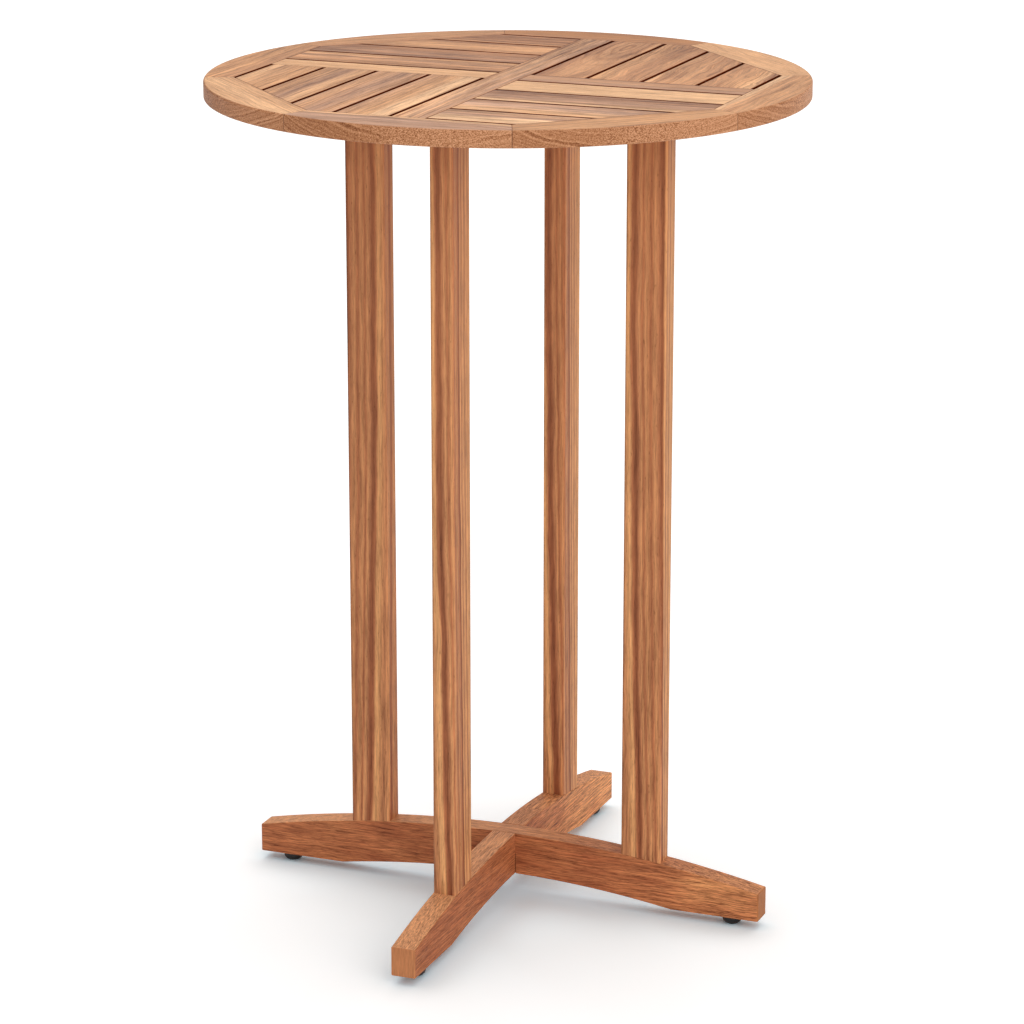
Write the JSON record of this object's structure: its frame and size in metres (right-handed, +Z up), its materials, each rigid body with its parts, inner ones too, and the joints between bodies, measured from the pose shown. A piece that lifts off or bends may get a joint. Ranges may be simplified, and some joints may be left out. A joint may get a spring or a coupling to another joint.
{
  "type": "bar table",
  "caption": "Round wooden bar table: mitred rim filled with slats in a pinwheel, on slim posts that stand on crossed arched beams with adjustable feet.",
  "frame": {"origin": "on the floor, on the table's vertical axis, midway between the four feet", "axes": "+Z up to the table top; X along the beam that lies on top at the base's crossing; Y along the other beam and the main rail"},
  "size_m": [0.7, 0.7, 1],
  "materials": {
    "top_wood_pale": "pale oiled hardwood, fine straight grain, satin",
    "top_wood_tan": "tan oiled hardwood with darker growth lines, satin",
    "top_wood_grey": "grey-brown oiled hardwood with fine grain, satin",
    "frame_wood": "reddish brown oiled hardwood with long wavy grain, satin",
    "dowel_wood": "plain pale dowel wood",
    "zinc_steel": "bright zinc plating",
    "insert_steel": "yellow zinc plating",
    "foot_plastic": "black moulded plastic, slight sheen"
  },
  "bodies": {
    "table": {"base_beam_x": "frame_wood", "base_beam_y": "frame_wood", "base_lap_screws": "zinc_steel", "cross_rail_left": "top_wood_pale", "cross_rail_right": "top_wood_grey", "foot_inserts": "insert_steel", "main_rail": "top_wood_tan", "post_back": "frame_wood", "post_base_bolts": "zinc_steel", "post_base_dowels": "dowel_wood", "post_base_inserts": "insert_steel", "post_base_washers": "zinc_steel", "post_front": "frame_wood", "post_left": "frame_wood", "post_right": "frame_wood", "post_top_bolts": "zinc_steel", "post_top_dowels": "dowel_wood", "post_top_inserts": "insert_steel", "post_top_washers": "zinc_steel", "rim_back": "top_wood_tan", "rim_back_left": "top_wood_tan", "rim_back_right": "top_wood_pale", "rim_dowels": "dowel_wood", "rim_front": "top_wood_grey", "rim_front_left": "top_wood_pale", "rim_front_right": "top_wood_tan", "rim_left": "top_wood_tan", "rim_right": "top_wood_tan", "slat_back_left_1": "top_wood_tan", "slat_back_left_2": "top_wood_grey", "slat_back_left_3": "top_wood_tan", "slat_back_left_4": "top_wood_grey", "slat_back_right_1": "top_wood_tan", "slat_back_right_2": "top_wood_tan", "slat_back_right_3": "top_wood_tan", "slat_back_right_4": "top_wood_tan", "slat_front_left_1": "top_wood_tan", "slat_front_left_2": "top_wood_grey", "slat_front_left_3": "top_wood_tan", "slat_front_left_4": "top_wood_tan", "slat_front_right_1": "top_wood_pale", "slat_front_right_2": "top_wood_grey", "slat_front_right_3": "top_wood_tan", "slat_front_right_4": "top_wood_grey", "top_batten_x": "frame_wood", "top_batten_y": "frame_wood", "top_screws": "zinc_steel"},
    "foot_stem_right": {"foot_stem_right": "zinc_steel"},
    "foot_dome_right": {"foot_dome_right": "foot_plastic"},
    "foot_stem_back": {"foot_stem_back": "zinc_steel"},
    "foot_dome_back": {"foot_dome_back": "foot_plastic"},
    "foot_stem_left": {"foot_stem_left": "zinc_steel"},
    "foot_dome_left": {"foot_dome_left": "foot_plastic"},
    "foot_stem_front": {"foot_stem_front": "zinc_steel"},
    "foot_dome_front": {"foot_dome_front": "foot_plastic"}
  },
  "joints": [
    {"name": "foot_travel_right", "type": "slide", "parent": "table", "child": "foot_stem_right", "axis": [0, 0, -1], "range_m": [0, 0.01]},
    {"name": "foot_turn_right", "type": "hinge", "parent": "foot_stem_right", "child": "foot_dome_right", "pos_m": [0.288, 0, 0.005], "axis": [0, 0, -1], "range_deg": [0, 2880]},
    {"name": "foot_travel_back", "type": "slide", "parent": "table", "child": "foot_stem_back", "axis": [0, 0, -1], "range_m": [0, 0.01]},
    {"name": "foot_turn_back", "type": "hinge", "parent": "foot_stem_back", "child": "foot_dome_back", "pos_m": [0, 0.288, 0.005], "axis": [0, 0, -1], "range_deg": [0, 2880]},
    {"name": "foot_travel_left", "type": "slide", "parent": "table", "child": "foot_stem_left", "axis": [0, 0, -1], "range_m": [0, 0.01]},
    {"name": "foot_turn_left", "type": "hinge", "parent": "foot_stem_left", "child": "foot_dome_left", "pos_m": [-0.288, 0, 0.005], "axis": [0, 0, -1], "range_deg": [0, 2880]},
    {"name": "foot_travel_front", "type": "slide", "parent": "table", "child": "foot_stem_front", "axis": [0, 0, -1], "range_m": [0, 0.01]},
    {"name": "foot_turn_front", "type": "hinge", "parent": "foot_stem_front", "child": "foot_dome_front", "pos_m": [0, -0.288, 0.005], "axis": [0, 0, -1], "range_deg": [0, 2880]}
  ],
  "couplings": [
    {"joint": "foot_turn_right", "follows": "foot_travel_right", "rad_per_m": 5026.5},
    {"joint": "foot_turn_back", "follows": "foot_travel_back", "rad_per_m": 5026.5},
    {"joint": "foot_turn_left", "follows": "foot_travel_left", "rad_per_m": 5026.5},
    {"joint": "foot_turn_front", "follows": "foot_travel_front", "rad_per_m": 5026.5}
  ]
}
